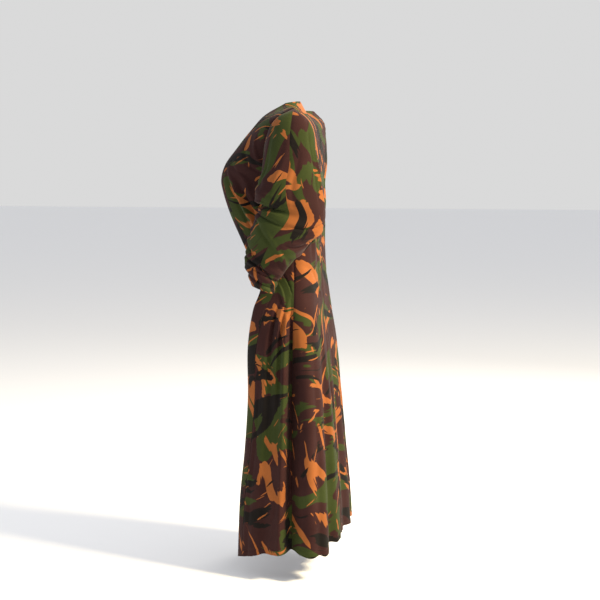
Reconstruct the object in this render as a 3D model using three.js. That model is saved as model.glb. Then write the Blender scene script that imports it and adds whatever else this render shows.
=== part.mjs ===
import * as THREE from 'three';

// A long open robe of kimono cut, worn and seen hollow: two fronts, a back, four sleeve pieces
// and a front band in two halves. Millimetres, +Z up. The wearer faces -Y, the wearer's left is +X,
// and the origin lies between the shoulders, at the height of the shoulder seams.

// Driving sizes
const clothWall = 2;
const bandWall = 3;
const bandWidth = 45;
const seamGap = 0.3;
const armholeGap = 0.4;
const underarmGap = 4.2;
const bandColumns = 3;
const frontColumns = 13;
const neckColumns = 3;
const ringSquareness = 2.3;
const noEnd = -9999;
const hemLiftStart = -1150;
const hemLevel = -1350;
const bezierSteps = 80;

// Each table is a list of rows under named columns.
const table = (names, rows) => rows.map((row) => Object.fromEntries(names.map((name, i) => [name, row[i]])));

// Sections of a front, from the finished front edge to the armhole or side seam.
// edgeRun and sideRun say how far each end of the section runs straight on before it turns,
// edgeDrop how much lower the band's inner part lies, and steps how many strips lie above the row.
const frontSections = table(
  ['edgeX', 'edgeY', 'edgeZ', 'sideX', 'sideY', 'sideZ', 'edgeRun', 'edgeDrop', 'sideRun', 'steps'],
  [
    [60, -2, 19, 185, 46, 0, 0.22, 20, 0.1, 0],
    [71, -68, -21, 183, -12, -38, 0.3, 6, 0.2, 2],
    [64, -110, -66, 177, -30, -80, 0.45, 0, 0.5, 2],
    [60, -154, -120, 171, -34, -130, 0.55, 0, 0.6, 2],
    [61, -190, -170, 166, -20, -180, 0.65, 0, 0.65, 2],
    [66, -201, -215, 163, 38, -215, 0.7, 0, 0.7, 2],
    [72, -194, -250, 163, 39, -255, 0.7, 0, 0.7, 1],
    [84, -168, -322, 163, 41, -335, 0.65, 0, 0.66, 2],
    [118, -114, -427, 163, 42, -440, 0.5, 0, 0.6, 2],
    [150, -62, -532, 172, 44, -545, 0.3, 0, 0.4, 2],
    [153, -86, -612, 186, 45, -622, 0.4, 0, 0.5, 2],
    [148, -103, -720, 198, 46, -722, 0.5, 0, 0.55, 2],
    [145, -104, -880, 207, 46, -880, 0.5, 0, 0.55, 3],
    [141, -115, -1040, 213, 47, -1035, 0.5, 0, 0.55, 3],
    [136, -132, -1200, 219, 48, -1185, 0.5, 0, 0.55, 3],
    [133, -140, -1388, 224, 48, -1348, 0.5, 0, 0.55, 3],
  ],
);
const underarmRow = 5; // the row where front, back and sleeve meet

// Sections of the back, from the armhole or side seam to the centre back.
// Below the underarm the side is the front's, so only the rows above it hold one of their own.
const backSections = table(
  ['sideX', 'sideY', 'sideZ', 'backY', 'backZ', 'sideRun', 'backRun'],
  [
    [185, 46, 0, 50, -12, 0, 0],
    [184, 78, -36, 70, -42, 0.2, 0.7],
    [179, 83, -80, 80, -82, 0, 0.75],
    [173, 80, -130, 88, -126, 0.1, 0.8],
    [168, 66, -180, 91, -170, 0.8, 0.8],
    [163, 38, -215, 92, -212, 0.85, 0.8],
    [0, 0, 0, 93, -250, 0.85, 0.8],
    [0, 0, 0, 94, -330, 0.85, 0.8],
    [0, 0, 0, 96, -437, 0.85, 0.8],
    [0, 0, 0, 102, -545, 0.85, 0.82],
    [0, 0, 0, 109, -622, 0.85, 0.84],
    [0, 0, 0, 121, -724, 0.85, 0.85],
    [0, 0, 0, 136, -884, 0.85, 0.86],
    [0, 0, 0, 148, -1044, 0.85, 0.86],
    [0, 0, 0, 158, -1200, 0.85, 0.86],
    [0, 0, 0, 164, -1326, 0.85, 0.86],
  ],
);

// The band at the centre back: its finished edge, and the neck seam that it stands on.
const napeEdge = new THREE.Vector3(0, 31, 26);
const napeSeam = new THREE.Vector3(0, 50, -12);

// Rings of a sleeve after the armhole, from the shoulder cap to the pushed-up end. x, y, z is a
// ring's middle, across reaches from it to the arm's back, and out to its outer side.
const ringColumns = ['x', 'y', 'z', 'acrossY', 'acrossZ', 'outX', 'outY', 'outZ', 'steps'];
const leftRings = table(ringColumns, [
  [220, 38, -122, 74, 0, 36, 16, 100, 3],
  [238, 41, -165, 78, 0, 52, 12, 80, 2],
  [240, 47, -208, 88, -3, 58, 6, 42, 2],
  [241, 43, -246, 99, -6, 62, 0, 20, 2],
  [242, 48, -285, 100, -12, 65, 0, 4, 2],
  [241, 53, -314, 93, -22, 58, 0, 0, 2],
  [241, 38, -344, 90, -36, 63, 0, 0, 2],
  [240, 10, -376, 70, -46, 61, 0, 2, 2],
  [236, -12, -411, 62, -42, 56, 0, 2, 2],
  [231, -33, -450, 57, -37, 50, 0, 2, 2],
  [226, -44, -487, 50, -31, 46, 0, 2, 2],
  [221, -46, -517, 40, -22, 41, 0, 2, 2],
  [218, -42, -538, 31, -12, 34, 0, 0, 1],
]);
// The right arm is held further forward, so that from the left the body hides it.
const rightRings = table(ringColumns, [
  [220, 20, -120, 60, 0, 36, -6, 98, 3],
  [238, 8, -165, 68, 2, 52, -4, 78, 2],
  [240, -7, -208, 80, 0, 58, 0, 42, 2],
  [241, -21, -246, 92, -4, 62, 0, 20, 2],
  [242, -25, -285, 98, -10, 65, 0, 4, 2],
  [241, -25, -314, 93, -20, 58, 0, 0, 2],
  [241, -39, -344, 90, -34, 63, 0, 0, 2],
  [240, -64, -374, 70, -44, 61, 0, 2, 2],
  [236, -86, -408, 62, -42, 56, 0, 2, 2],
  [231, -106, -446, 57, -37, 50, 0, 2, 2],
  [226, -118, -483, 50, -31, 46, 0, 2, 2],
  [221, -121, -514, 40, -22, 41, 0, 2, 2],
  [218, -117, -536, 31, -12, 34, 0, 0, 1],
]);

// Folds of the body. around is a fold's place: 0 at the front seam, 1 at the side seam, 2 at the
// centre back. It starts at topZ, is full at fullZ, fades by endZ where that is above the hem,
// and is depth deep (inward below zero) and spread wide to each side. drift moves it on its way
// down, and rise lifts the hem where it passes, or lowers it below zero.
const foldColumns = ['around', 'drift', 'topZ', 'fullZ', 'endZ', 'depth', 'spread', 'rise'];
const leftFolds = table(foldColumns, [
  [1.0, 0.0, -560, -900, noEnd, -34, 0.1, 6],
  [0.83, -0.02, -560, -700, -1250, 13, 0.08, 0],
  [0.68, -0.05, -570, -690, -1100, -15, 0.08, 0],
  [0.4, 0.08, -640, -1100, noEnd, -9, 0.14, 6],
  [1.16, 0.02, -650, -1000, noEnd, 11, 0.1, -14],
  [1.36, 0.0, -700, -1250, noEnd, 9, 0.1, -20],
  [1.52, -0.02, -600, -1100, noEnd, -20, 0.09, 4],
  [1.72, 0.04, -560, -1150, noEnd, 12, 0.1, 0],
  [0.3, 0.35, -215, -290, -480, 9, 0.1, 0],
  [0.55, 0.3, -230, -320, -500, -10, 0.1, 0],
]);
const rightFolds = table(foldColumns, [
  [1.0, 0.0, -600, -980, noEnd, -28, 0.1, 8],
  [0.8, 0.03, -600, -760, -1300, 11, 0.09, 0],
  [0.62, -0.02, -620, -800, -1200, -13, 0.09, 0],
  [0.36, 0.1, -680, -1120, noEnd, -8, 0.15, 5],
  [1.2, 0.0, -620, -1050, noEnd, 11, 0.11, 12],
  [1.45, 0.0, -380, -760, noEnd, 15, 0.26, 18],
  [1.5, 0.0, -900, -1340, noEnd, 12, 0.3, 0],
  [1.57, 0.03, -640, -1060, noEnd, -14, 0.09, 0],
  [1.75, 0.0, -600, -1180, noEnd, 8, 0.1, 0],
  [0.34, 0.3, -220, -300, -470, 8, 0.11, 0],
  [0.6, 0.25, -240, -330, -520, -9, 0.1, 0],
]);

// Creases of a sleeve. along is the ring's place from the armhole, 0, to the end, 1; turn is the
// place round the ring: -0.5 the arm's front, 0 its outer side, 0.5 its back, 1 or -1 its inner side.
const sleeveCreases = table(
  ['along', 'alongSpread', 'turn', 'turnSpread', 'depth'],
  [
    [0.5, 0.03, -0.42, 0.3, -12],
    [0.44, 0.03, -0.4, 0.3, 6],
    [0.56, 0.03, -0.2, 0.25, 6],
    [0.6, 0.03, 0.42, 0.25, -8],
    [0.8, 0.025, -0.3, 0.5, -6],
    [0.87, 0.025, 0.25, 0.6, -6],
    [0.94, 0.02, -0.2, 0.9, -5],
    [0.3, 0.06, 0.5, 0.2, -5],
  ],
);

// Curves and lofts

const lerp = (a, b, t) => a + (b - a) * t;
const ramp = (value, from, to) => THREE.MathUtils.smoothstep((value - from) / (to - from), 0, 1);
const bell = (distance, spread) => Math.exp(-((distance / spread) ** 2));

// A point at a distance along a section.
function pointAlong(curve, distance) {
  return curve.getPointAt(THREE.MathUtils.clamp(distance / curve.getLength(), 0, 1));
}

function sectionCurve(start, startHandle, endHandle, end) {
  const curve = new THREE.CubicBezierCurve3(start, startHandle, endHandle, end);
  curve.arcLengthDivisions = bezierSteps;
  return curve;
}

function frontCurve(row) {
  const start = new THREE.Vector3(row.edgeX, row.edgeY, row.edgeZ);
  const end = new THREE.Vector3(row.sideX, row.sideY, row.sideZ);
  const startHandle = new THREE.Vector3(
    lerp(start.x, end.x, row.edgeRun),
    start.y,
    lerp(start.z, end.z, 1 / 3) - row.edgeDrop,
  );
  const endHandle = new THREE.Vector3(
    end.x,
    lerp(end.y, start.y, row.sideRun),
    lerp(start.z, end.z, 2 / 3),
  );
  return sectionCurve(start, startHandle, endHandle, end);
}

function backCurve(row, side) {
  const end = new THREE.Vector3(0, row.backY, row.backZ);
  const sideHandle = new THREE.Vector3(
    side.x,
    lerp(side.y, end.y, row.sideRun),
    lerp(side.z, end.z, 1 / 3),
  );
  const backHandle = new THREE.Vector3(side.x * row.backRun, end.y, lerp(side.z, end.z, 2 / 3));
  return sectionCurve(side, sideHandle, backHandle, end);
}

// A smooth curve through one column of the rows, cut into the strips that each row asks for.
function columnPoints(points, steps) {
  const curve = new THREE.CatmullRomCurve3(points, false, 'centripetal');
  const result = [points[0]];
  for (let i = 1; i < points.length; i += 1) {
    for (let k = 1; k <= steps[i]; k += 1) {
      result.push(curve.getPoint((i - 1 + k / steps[i]) / (points.length - 1)));
    }
  }
  return result;
}

function loft(rows, steps) {
  const columns = rows[0].map((_, k) => columnPoints(rows.map((row) => row[k]), steps));
  return columns[0].map((_, i) => columns.map((column) => column[i]));
}

const rowSteps = frontSections.map((row) => row.steps);
const armholeStrips = rowSteps.slice(0, underarmRow + 1).reduce((sum, steps) => sum + steps, 0);

// The side column is two curves that meet at the underarm, so that front and back share the seam.
function setSideColumn(grid, column, points) {
  const armhole = columnPoints(points.slice(0, underarmRow + 1), rowSteps.slice(0, underarmRow + 1));
  const seam = columnPoints(points.slice(underarmRow), rowSteps.slice(underarmRow));
  [...armhole, ...seam.slice(1)].forEach((point, i) => {
    grid[i][column] = point;
  });
}

// Surfaces of the left half, each a grid of points: rows run down, columns run across.

function frontSurface() {
  const rows = frontSections.map((row) => {
    const curve = frontCurve(row);
    const rest = curve.getLength() - bandWidth;
    const distances = [];
    for (let k = 0; k < bandColumns; k += 1) distances.push((bandWidth * k) / bandColumns);
    for (let k = 0; k <= frontColumns; k += 1) distances.push(bandWidth + (rest * k) / frontColumns);
    return distances.map((distance) => pointAlong(curve, distance));
  });
  const grid = loft(rows, rowSteps);
  setSideColumn(grid, bandColumns + frontColumns, rows.map((row) => row[bandColumns + frontColumns]));
  return grid;
}

// The band round the back of the neck, from the centre back to the shoulder seam.
function neckSurface(shoulderRow) {
  const grid = [];
  for (let i = 0; i <= neckColumns; i += 1) {
    const angle = (i / neckColumns) * (Math.PI / 2);
    grid.push(
      shoulderRow.map((side, k) => {
        const nape = new THREE.Vector3().lerpVectors(napeEdge, napeSeam, k / bandColumns);
        const turn = 1 - Math.cos(angle);
        return new THREE.Vector3(
          side.x * Math.sin(angle),
          lerp(nape.y, side.y, turn),
          lerp(nape.z, side.z, turn),
        );
      }),
    );
  }
  return grid;
}

// Its columns start under the shoulder and neck seams and are even from the underarm down.
function backSurface(front, neck) {
  const columns = frontColumns + neckColumns;
  const shoulderSeam = front[0].slice(bandColumns).reverse();
  const neckSeam = neck.map((row) => row[bandColumns]).reverse();
  const topEdge = [...shoulderSeam, ...neckSeam.slice(1)];
  const topPlaces = new THREE.CurvePath();
  topEdge.slice(1).forEach((point, k) => topPlaces.add(new THREE.LineCurve3(topEdge[k], point)));
  const topLengths = [0, ...topPlaces.getCurveLengths()];
  const rows = backSections.map((row, i) => {
    if (i === 0) return topEdge;
    const sideRow = i > underarmRow ? frontSections[i] : row;
    const side = new THREE.Vector3(sideRow.sideX, sideRow.sideY, sideRow.sideZ);
    const curve = backCurve(row, side);
    const evenness = ramp(i, 0, underarmRow);
    return topLengths.map((length, k) =>
      curve.getPointAt(lerp(length / topLengths[columns], k / columns, evenness)),
    );
  });
  const grid = loft(rows, rowSteps);
  setSideColumn(grid, 0, rows.map((row) => row[0]));
  return grid;
}

// One half of a sleeve. way is -1 for the front piece and 1 for the back piece.
function sleeveSurface(armhole, way, ringRows) {
  const rings = ringRows.map((ring) =>
    armhole.map((_, k) => {
      const angle = (k / armholeStrips) * Math.PI;
      const out = Math.sign(Math.cos(angle)) * Math.abs(Math.cos(angle)) ** (2 / ringSquareness);
      const across = way * Math.sin(angle) ** (2 / ringSquareness);
      return new THREE.Vector3(
        ring.x + ring.outX * out,
        ring.y + ring.outY * out + ring.acrossY * across,
        ring.z + ring.outZ * out + ring.acrossZ * across,
      );
    }),
  );
  const grid = loft([armhole, ...rings], [0, ...ringRows.map((ring) => ring.steps)]);
  return grid.map((row, i) => {
    const along = i / (grid.length - 1);
    return row.map((point, k) => creased(point, row, along, (way * k) / armholeStrips));
  });
}

// Folds

// Moves a point of the body in or out from the upright axis by the folds that pass it.
function folded(point, around, folds) {
  let depth = 0;
  let rise = 0;
  for (const fold of folds) {
    const grown = ramp(point.z, fold.topZ, fold.fullZ);
    const kept = fold.endZ === noEnd ? 1 : 1 - ramp(point.z, fold.fullZ, fold.endZ);
    const shape = bell(around - fold.around - fold.drift * grown, fold.spread);
    depth += fold.depth * grown * kept * shape;
    rise += fold.rise * ramp(point.z, hemLiftStart, hemLevel) * shape;
  }
  const reach = Math.hypot(point.x, point.y);
  return new THREE.Vector3(
    point.x + (depth * point.x) / reach,
    point.y + (depth * point.y) / reach,
    point.z + rise,
  );
}

// Moves a point of a sleeve in or out from its ring's middle by the creases that pass it.
function creased(point, ring, along, turn) {
  const middle = ring[0].clone().add(ring[ring.length - 1]).multiplyScalar(0.5);
  let depth = 0;
  for (const crease of sleeveCreases) {
    const turned = Math.abs(turn - crease.turn);
    const away = Math.min(turned, 2 - turned);
    depth += crease.depth * bell(along - crease.along, crease.alongSpread) * bell(away, crease.turnSpread);
  }
  const outward = point.clone().sub(middle).normalize();
  return point.clone().addScaledVector(outward, depth);
}

// Pieces: a grid each, with the borders that are seams and the side that is its right side.

const mirrorPoint = (point) => new THREE.Vector3(-point.x, point.y, point.z);
const mirrored = (grid) => grid.map((row) => row.map(mirrorPoint));

function halfPieces(side, folds, ringRows) {
  const plain = frontSurface();
  const neck = neckSurface(plain[0].slice(0, bandColumns + 1));
  const plainBack = backSurface(plain, neck);
  const front = plain.map((row) =>
    row.map((point, k) => folded(point, (k - bandColumns) / frontColumns, folds)),
  );
  const backColumns = frontColumns + neckColumns;
  const back = plainBack.map((row) => row.map((point, k) => folded(point, 1 + k / backColumns, folds)));
  const armholeFront = front.slice(0, armholeStrips + 1).map((row) => row[row.length - 1]);
  const armholeBack = back.slice(0, armholeStrips + 1).map((row) => row[0]);
  const place = side > 0 ? (grid) => grid : mirrored;
  return {
    neck: place(neck),
    band: place(front.map((row) => row.slice(0, bandColumns + 1))),
    front: place(front.map((row) => row.slice(bandColumns))),
    back: place(back),
    sleeveFront: place(sleeveSurface(armholeFront, -1, ringRows)),
    sleeveBack: place(sleeveSurface(armholeBack, 1, ringRows)),
  };
}

const left = halfPieces(1, leftFolds, leftRings);
const right = halfPieces(-1, rightFolds, rightRings);

// seams: top, bottom, first column, last column
const pieces = [
  { name: 'front_left', grid: left.front, wall: clothWall, seams: [1, 0, 1, 1], flip: false },
  { name: 'front_right', grid: right.front, wall: clothWall, seams: [1, 0, 1, 1], flip: true },
  { name: 'back_left', grid: left.back, wall: clothWall, seams: [1, 0, 1, 1], flip: false },
  { name: 'back_right', grid: right.back, wall: clothWall, seams: [1, 0, 1, 1], flip: true },
  { name: 'band_left', grid: left.band, wall: bandWall, seams: [1, 0, 0, 1], flip: false },
  { name: 'band_right', grid: right.band, wall: bandWall, seams: [1, 0, 0, 1], flip: true },
  {
    name: 'band_neck',
    grid: [...right.neck.slice(1).reverse(), ...left.neck],
    wall: bandWall,
    seams: [1, 1, 0, 1],
    flip: false,
  },
  { name: 'sleeve_left_front', grid: left.sleeveFront, wall: clothWall, seams: [1, 0, 1, 1], flip: true },
  { name: 'sleeve_left_back', grid: left.sleeveBack, wall: clothWall, seams: [1, 0, 1, 1], flip: false },
  { name: 'sleeve_right_front', grid: right.sleeveFront, wall: clothWall, seams: [1, 0, 1, 1], flip: false },
  { name: 'sleeve_right_back', grid: right.sleeveBack, wall: clothWall, seams: [1, 0, 1, 1], flip: true },
];

// Walls

const pointKey = (point) => [point.x, point.y, point.z].map((value) => Math.round(value * 100)).join(' ');

// Outward directions, shared where pieces meet, so that two walls end in one plane at a seam.
// At an underarm, where body and sleeve turn into each other, the direction leans half down.
function sharedNormals(allPieces, underarms) {
  const sums = new Map();
  for (const { grid, flip } of allPieces) {
    for (let i = 0; i + 1 < grid.length; i += 1) {
      for (let k = 0; k + 1 < grid[i].length; k += 1) {
        const corners = [grid[i][k], grid[i][k + 1], grid[i + 1][k + 1], grid[i + 1][k]];
        const acrossOne = corners[2].clone().sub(corners[0]);
        const acrossTwo = corners[3].clone().sub(corners[1]);
        const normal = flip ? acrossOne.cross(acrossTwo) : acrossTwo.cross(acrossOne);
        for (const corner of corners) {
          const key = pointKey(corner);
          if (!sums.has(key)) sums.set(key, new THREE.Vector3());
          sums.get(key).add(normal);
        }
      }
    }
  }
  for (const point of underarms) sums.set(pointKey(point), new THREE.Vector3(Math.sign(point.x), 0, -1));
  return (point) => sums.get(pointKey(point)).clone().normalize();
}

// A border that is a seam is drawn back along the cloth by half the gap. A sleeve is drawn back
// a little further round the armhole, and most at the underarm corner, where four pieces meet.
function drawnBack(grid, seams, sleeve) {
  const rows = grid.length;
  const columns = grid[0].length;
  const [top, bottom, first, last] = seams;
  return grid.map((row, i) =>
    row.map((point, k) => {
      const moved = point.clone();
      const corner = sleeve && i === 0 ? bell(columns - 1 - k, 1) : 0;
      const toward = (other, gap) => moved.addScaledVector(other.clone().sub(point).normalize(), gap / 2);
      if (top && i === 0) toward(grid[1][k], sleeve ? lerp(armholeGap, underarmGap, corner) : seamGap);
      if (bottom && i === rows - 1) toward(grid[rows - 2][k], seamGap);
      if (first && k === 0) toward(row[1], seamGap);
      if (last && k === columns - 1) toward(row[columns - 2], lerp(seamGap, underarmGap, corner));
      return moved;
    }),
  );
}

function wallGeometry({ name, grid, wall, seams, flip }, normalAt) {
  const rows = grid.length;
  const columns = grid[0].length;
  const middle = drawnBack(grid, seams, name.startsWith('sleeve'));
  const positions = [];
  for (const side of [1, -1]) {
    middle.forEach((row, i) =>
      row.forEach((point, k) => {
        const moved = point.clone().addScaledVector(normalAt(grid[i][k]), (side * wall) / 2);
        positions.push(moved.x, moved.y, moved.z);
      }),
    );
  }
  const index = [];
  const quad = (a, b, c, d) => {
    if (flip) index.push(a, b, c, a, c, d);
    else index.push(a, c, b, a, d, c);
  };
  const outer = (i, k) => i * columns + k;
  const inner = (i, k) => rows * columns + outer(i, k);
  for (let i = 0; i + 1 < rows; i += 1) {
    for (let k = 0; k + 1 < columns; k += 1) {
      quad(outer(i, k), outer(i, k + 1), outer(i + 1, k + 1), outer(i + 1, k));
      quad(inner(i, k), inner(i + 1, k), inner(i + 1, k + 1), inner(i, k + 1));
    }
  }
  const border = [];
  for (let k = 0; k < columns - 1; k += 1) border.push([0, k]);
  for (let i = 0; i < rows - 1; i += 1) border.push([i, columns - 1]);
  for (let k = columns - 1; k > 0; k -= 1) border.push([rows - 1, k]);
  for (let i = rows - 1; i > 0; i -= 1) border.push([i, 0]);
  border.forEach(([i, k], n) => {
    const [nextI, nextK] = border[(n + 1) % border.length];
    // the bottom border is split as the top border that it may meet
    if (i === rows - 1 && nextI === i) {
      quad(outer(i, k), inner(i, k), inner(nextI, nextK), outer(nextI, nextK));
    } else {
      quad(outer(nextI, nextK), outer(i, k), inner(i, k), inner(nextI, nextK));
    }
  });
  const geometry = new THREE.BufferGeometry();
  geometry.setAttribute('position', new THREE.Float32BufferAttribute(positions, 3));
  geometry.setIndex(index);
  geometry.computeVertexNormals();
  return geometry;
}

// Finish: printed cotton twill in brown, green, tan and black, dull, with a slight sheen
const clothColour = 0x4a3029;
const clothRoughness = 0.8;

const robe = new THREE.Group();
const cloth = new THREE.MeshStandardMaterial({
  color: clothColour,
  roughness: clothRoughness,
  metalness: 0,
});
const underarms = [left, right].map((half) => half.front[armholeStrips][frontColumns]);
const normalAt = sharedNormals(pieces, underarms);
for (const piece of pieces) {
  const mesh = new THREE.Mesh(wallGeometry(piece, normalAt), cloth);
  mesh.name = piece.name;
  robe.add(mesh);
}

export default robe;
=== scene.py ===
import math
import bpy
import numpy as np
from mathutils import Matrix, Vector, noise


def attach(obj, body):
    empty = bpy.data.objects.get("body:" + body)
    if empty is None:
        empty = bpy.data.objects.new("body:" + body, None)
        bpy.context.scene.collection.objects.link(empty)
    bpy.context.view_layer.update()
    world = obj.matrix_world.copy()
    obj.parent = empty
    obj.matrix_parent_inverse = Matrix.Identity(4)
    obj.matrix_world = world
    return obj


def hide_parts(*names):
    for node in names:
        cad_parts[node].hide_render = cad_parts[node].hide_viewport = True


# A long open robe of kimono cut, worn and hollow, in printed camouflage twill.
# +Z is up, the wearer faces -Y, the wearer's left is +X. Meshes are in metres.

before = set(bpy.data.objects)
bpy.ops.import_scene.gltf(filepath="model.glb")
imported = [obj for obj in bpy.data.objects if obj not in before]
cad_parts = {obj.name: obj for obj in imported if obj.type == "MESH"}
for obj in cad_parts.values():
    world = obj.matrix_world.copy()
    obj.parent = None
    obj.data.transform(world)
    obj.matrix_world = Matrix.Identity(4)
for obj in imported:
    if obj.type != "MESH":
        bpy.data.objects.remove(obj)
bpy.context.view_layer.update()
bpy.ops.object.select_all(action="DESELECT")
print("frame loaded with", len(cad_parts), "pieces")

mm = 0.001  # the robe's tables are in millimetres

# The form of the robe, as its solids have it

robeForm = {
    "bandWidth": 45,
    "frontColumns": 13,
    "neckColumns": 3,
    "bandColumns": 3,
    "underarmRow": 5,
    "ringSquareness": 2.3,
    "hemLiftStart": -1150,
    "hemLevel": -1350,
    "bodyHem": 19,
    "sleeveHem": 12,
    "centreBlend": 0.85,  # from here to the centre seam the two backs draw together
}
# How closely the cloth is meshed, in millimetres and in numbers of cells
meshing = {
    "cell": 4.6,
    "besideSeam": (1.5, 3.5, 6.5),
    "besideHemStitch": (-2, 0, 2),
    "frontWidth": 180,
    "shoulderColumn": 11.5,
    "bandCells": 9,
    "frontCells": 48,
    "shoulderCells": 52,
    "backNeckCells": 21,
    "neckRings": 26,
    "curveSamples": 600,
}
hem = None  # a fold that runs on to the hem has no end of its own

# edgeX, edgeY, edgeZ, sideX, sideY, sideZ, edgeRun, edgeDrop, sideRun
frontSections = [
    (60, -2, 19, 185, 46, 0, 0.22, 20, 0.1),
    (71, -68, -21, 183, -12, -38, 0.3, 6, 0.2),
    (64, -110, -66, 177, -30, -80, 0.45, 0, 0.5),
    (60, -154, -120, 171, -34, -130, 0.55, 0, 0.6),
    (61, -190, -170, 166, -20, -180, 0.65, 0, 0.65),
    (66, -201, -215, 163, 38, -215, 0.7, 0, 0.7),
    (72, -194, -250, 163, 39, -255, 0.7, 0, 0.7),
    (84, -168, -322, 163, 41, -335, 0.65, 0, 0.66),
    (118, -114, -427, 163, 42, -440, 0.5, 0, 0.6),
    (150, -62, -532, 172, 44, -545, 0.3, 0, 0.4),
    (153, -86, -612, 186, 45, -622, 0.4, 0, 0.5),
    (148, -103, -720, 198, 46, -722, 0.5, 0, 0.55),
    (145, -104, -880, 207, 46, -880, 0.5, 0, 0.55),
    (141, -115, -1040, 213, 47, -1035, 0.5, 0, 0.55),
    (136, -132, -1200, 219, 48, -1185, 0.5, 0, 0.55),
    (133, -140, -1388, 224, 48, -1348, 0.5, 0, 0.55),
]
# sideX, sideY, sideZ, backY, backZ, sideRun, backRun; below the underarm the side is the front's
backSections = [
    (185, 46, 0, 50, -12, 0, 0),
    (184, 78, -36, 70, -42, 0.2, 0.7),
    (179, 83, -80, 80, -82, 0, 0.75),
    (173, 80, -130, 88, -126, 0.1, 0.8),
    (168, 66, -180, 91, -170, 0.8, 0.8),
    (163, 38, -215, 92, -212, 0.85, 0.8),
    (0, 0, 0, 93, -250, 0.85, 0.8),
    (0, 0, 0, 94, -330, 0.85, 0.8),
    (0, 0, 0, 96, -437, 0.85, 0.8),
    (0, 0, 0, 102, -545, 0.85, 0.82),
    (0, 0, 0, 109, -622, 0.85, 0.84),
    (0, 0, 0, 121, -724, 0.85, 0.85),
    (0, 0, 0, 136, -884, 0.85, 0.86),
    (0, 0, 0, 148, -1044, 0.85, 0.86),
    (0, 0, 0, 158, -1200, 0.85, 0.86),
    (0, 0, 0, 164, -1326, 0.85, 0.86),
]
napeEdge = np.array([0.0, 31.0, 26.0])
napeSeam = np.array([0.0, 50.0, -12.0])
# middle x, y, z, across y, z, out x, y, z, weight of the stretch above the ring
leftRings = [
    (220, 38, -122, 74, 0, 36, 16, 100, 3),
    (238, 41, -165, 78, 0, 52, 12, 80, 2),
    (240, 47, -208, 88, -3, 58, 6, 42, 2),
    (241, 43, -246, 99, -6, 62, 0, 20, 2),
    (242, 48, -285, 100, -12, 65, 0, 4, 2),
    (241, 53, -314, 93, -22, 58, 0, 0, 2),
    (241, 38, -344, 90, -36, 63, 0, 0, 2),
    (240, 10, -376, 70, -46, 61, 0, 2, 2),
    (236, -12, -411, 62, -42, 56, 0, 2, 2),
    (231, -33, -450, 57, -37, 50, 0, 2, 2),
    (226, -44, -487, 50, -31, 46, 0, 2, 2),
    (221, -46, -517, 40, -22, 41, 0, 2, 2),
    (218, -42, -538, 31, -12, 34, 0, 0, 1),
]
rightRings = [
    (220, 20, -120, 60, 0, 36, -6, 98, 3),
    (238, 8, -165, 68, 2, 52, -4, 78, 2),
    (240, -7, -208, 80, 0, 58, 0, 42, 2),
    (241, -21, -246, 92, -4, 62, 0, 20, 2),
    (242, -25, -285, 98, -10, 65, 0, 4, 2),
    (241, -25, -314, 93, -20, 58, 0, 0, 2),
    (241, -39, -344, 90, -34, 63, 0, 0, 2),
    (240, -64, -374, 70, -44, 61, 0, 2, 2),
    (236, -86, -408, 62, -42, 56, 0, 2, 2),
    (231, -106, -446, 57, -37, 50, 0, 2, 2),
    (226, -118, -483, 50, -31, 46, 0, 2, 2),
    (221, -121, -514, 40, -22, 41, 0, 2, 2),
    (218, -117, -536, 31, -12, 34, 0, 0, 1),
]
# around, drift, top z, full z, end z, depth, spread, rise of the hem. around is 0 at the
# front seam, 1 at the side seam and 2 at the centre back. The first rows are the solid's folds.
leftFolds = [
    (1.0, 0.0, -560, -900, hem, -34, 0.1, 6),
    (0.83, -0.02, -560, -700, -1250, 13, 0.08, 0),
    (0.68, -0.05, -570, -690, -1100, -15, 0.08, 0),
    (0.4, 0.08, -640, -1100, hem, -9, 0.14, 6),
    (1.16, 0.02, -650, -1000, hem, 11, 0.1, -14),
    (1.36, 0.0, -700, -1250, hem, 9, 0.1, -20),
    (1.52, -0.02, -600, -1100, hem, -20, 0.09, 4),
    (1.72, 0.04, -560, -1150, hem, 12, 0.1, 0),
    (0.3, 0.35, -215, -290, -480, 9, 0.1, 0),
    (0.55, 0.3, -230, -320, -500, -10, 0.1, 0),
]
rightFolds = [
    (1.0, 0.0, -600, -980, hem, -28, 0.1, 8),
    (0.8, 0.03, -600, -760, -1300, 11, 0.09, 0),
    (0.62, -0.02, -620, -800, -1200, -13, 0.09, 0),
    (0.36, 0.1, -680, -1120, hem, -8, 0.15, 5),
    (1.2, 0.0, -620, -1050, hem, 11, 0.11, 12),
    (1.45, 0.0, -380, -760, hem, 15, 0.26, 18),
    (1.5, 0.0, -900, -1340, hem, 12, 0.3, 0),
    (1.57, 0.03, -640, -1060, hem, -14, 0.09, 0),
    (1.75, 0.0, -600, -1180, hem, 8, 0.1, 0),
    (0.34, 0.3, -220, -300, -470, 8, 0.11, 0),
    (0.6, 0.25, -240, -330, -520, -9, 0.1, 0),
]
# along 0 is the armhole and 1 the sleeve's end; turn -0.5 is the arm's front, 0.5 its back
# along, spread along, turn, spread round, depth
sleeveDents = [
    (0.475, 0.03, -0.42, 0.3, -12),
    (0.42, 0.03, -0.4, 0.3, 7),
    (0.54, 0.03, -0.2, 0.25, 7),
    (0.6, 0.03, 0.42, 0.25, -8),
    (0.8, 0.025, -0.3, 0.5, -6),
    (0.87, 0.025, 0.25, 0.6, -6),
    (0.94, 0.02, -0.2, 0.9, -5),
    (0.3, 0.06, 0.5, 0.2, -5),
]

# The finer drape: what cloth does on that form

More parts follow.
